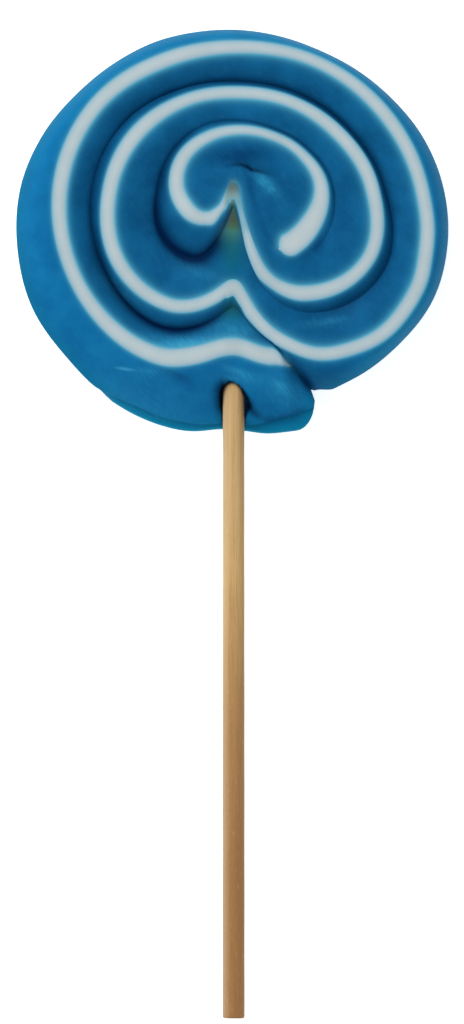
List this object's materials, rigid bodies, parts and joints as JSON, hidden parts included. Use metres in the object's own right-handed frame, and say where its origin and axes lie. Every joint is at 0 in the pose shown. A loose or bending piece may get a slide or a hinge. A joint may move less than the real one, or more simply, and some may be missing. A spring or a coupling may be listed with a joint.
{
  "type": "swirl lollipop",
  "caption": "Flat blue boiled-sugar coil with a white layer swirling through it, pressed onto a thin round wooden stick to hold it by.",
  "frame": {"origin": "on the flat back of the candy, on the line of the stick, below the middle of the coil", "axes": "+Z out of the swirled face, away from the surface the lollipop lies on; +Y along the stick towards the candy; +X to the right seen from the face"},
  "size_m": [0.0787, 0.1799, 0.0099],
  "materials": {
    "blue_candy": "glossy",
    "white_candy": "satin",
    "stick_wood": "raw, smooth"
  },
  "bodies": {
    "root": {"blue_candy": "blue_candy", "white_layer": "white_candy", "stick": "stick_wood"}
  },
  "joints": []
}
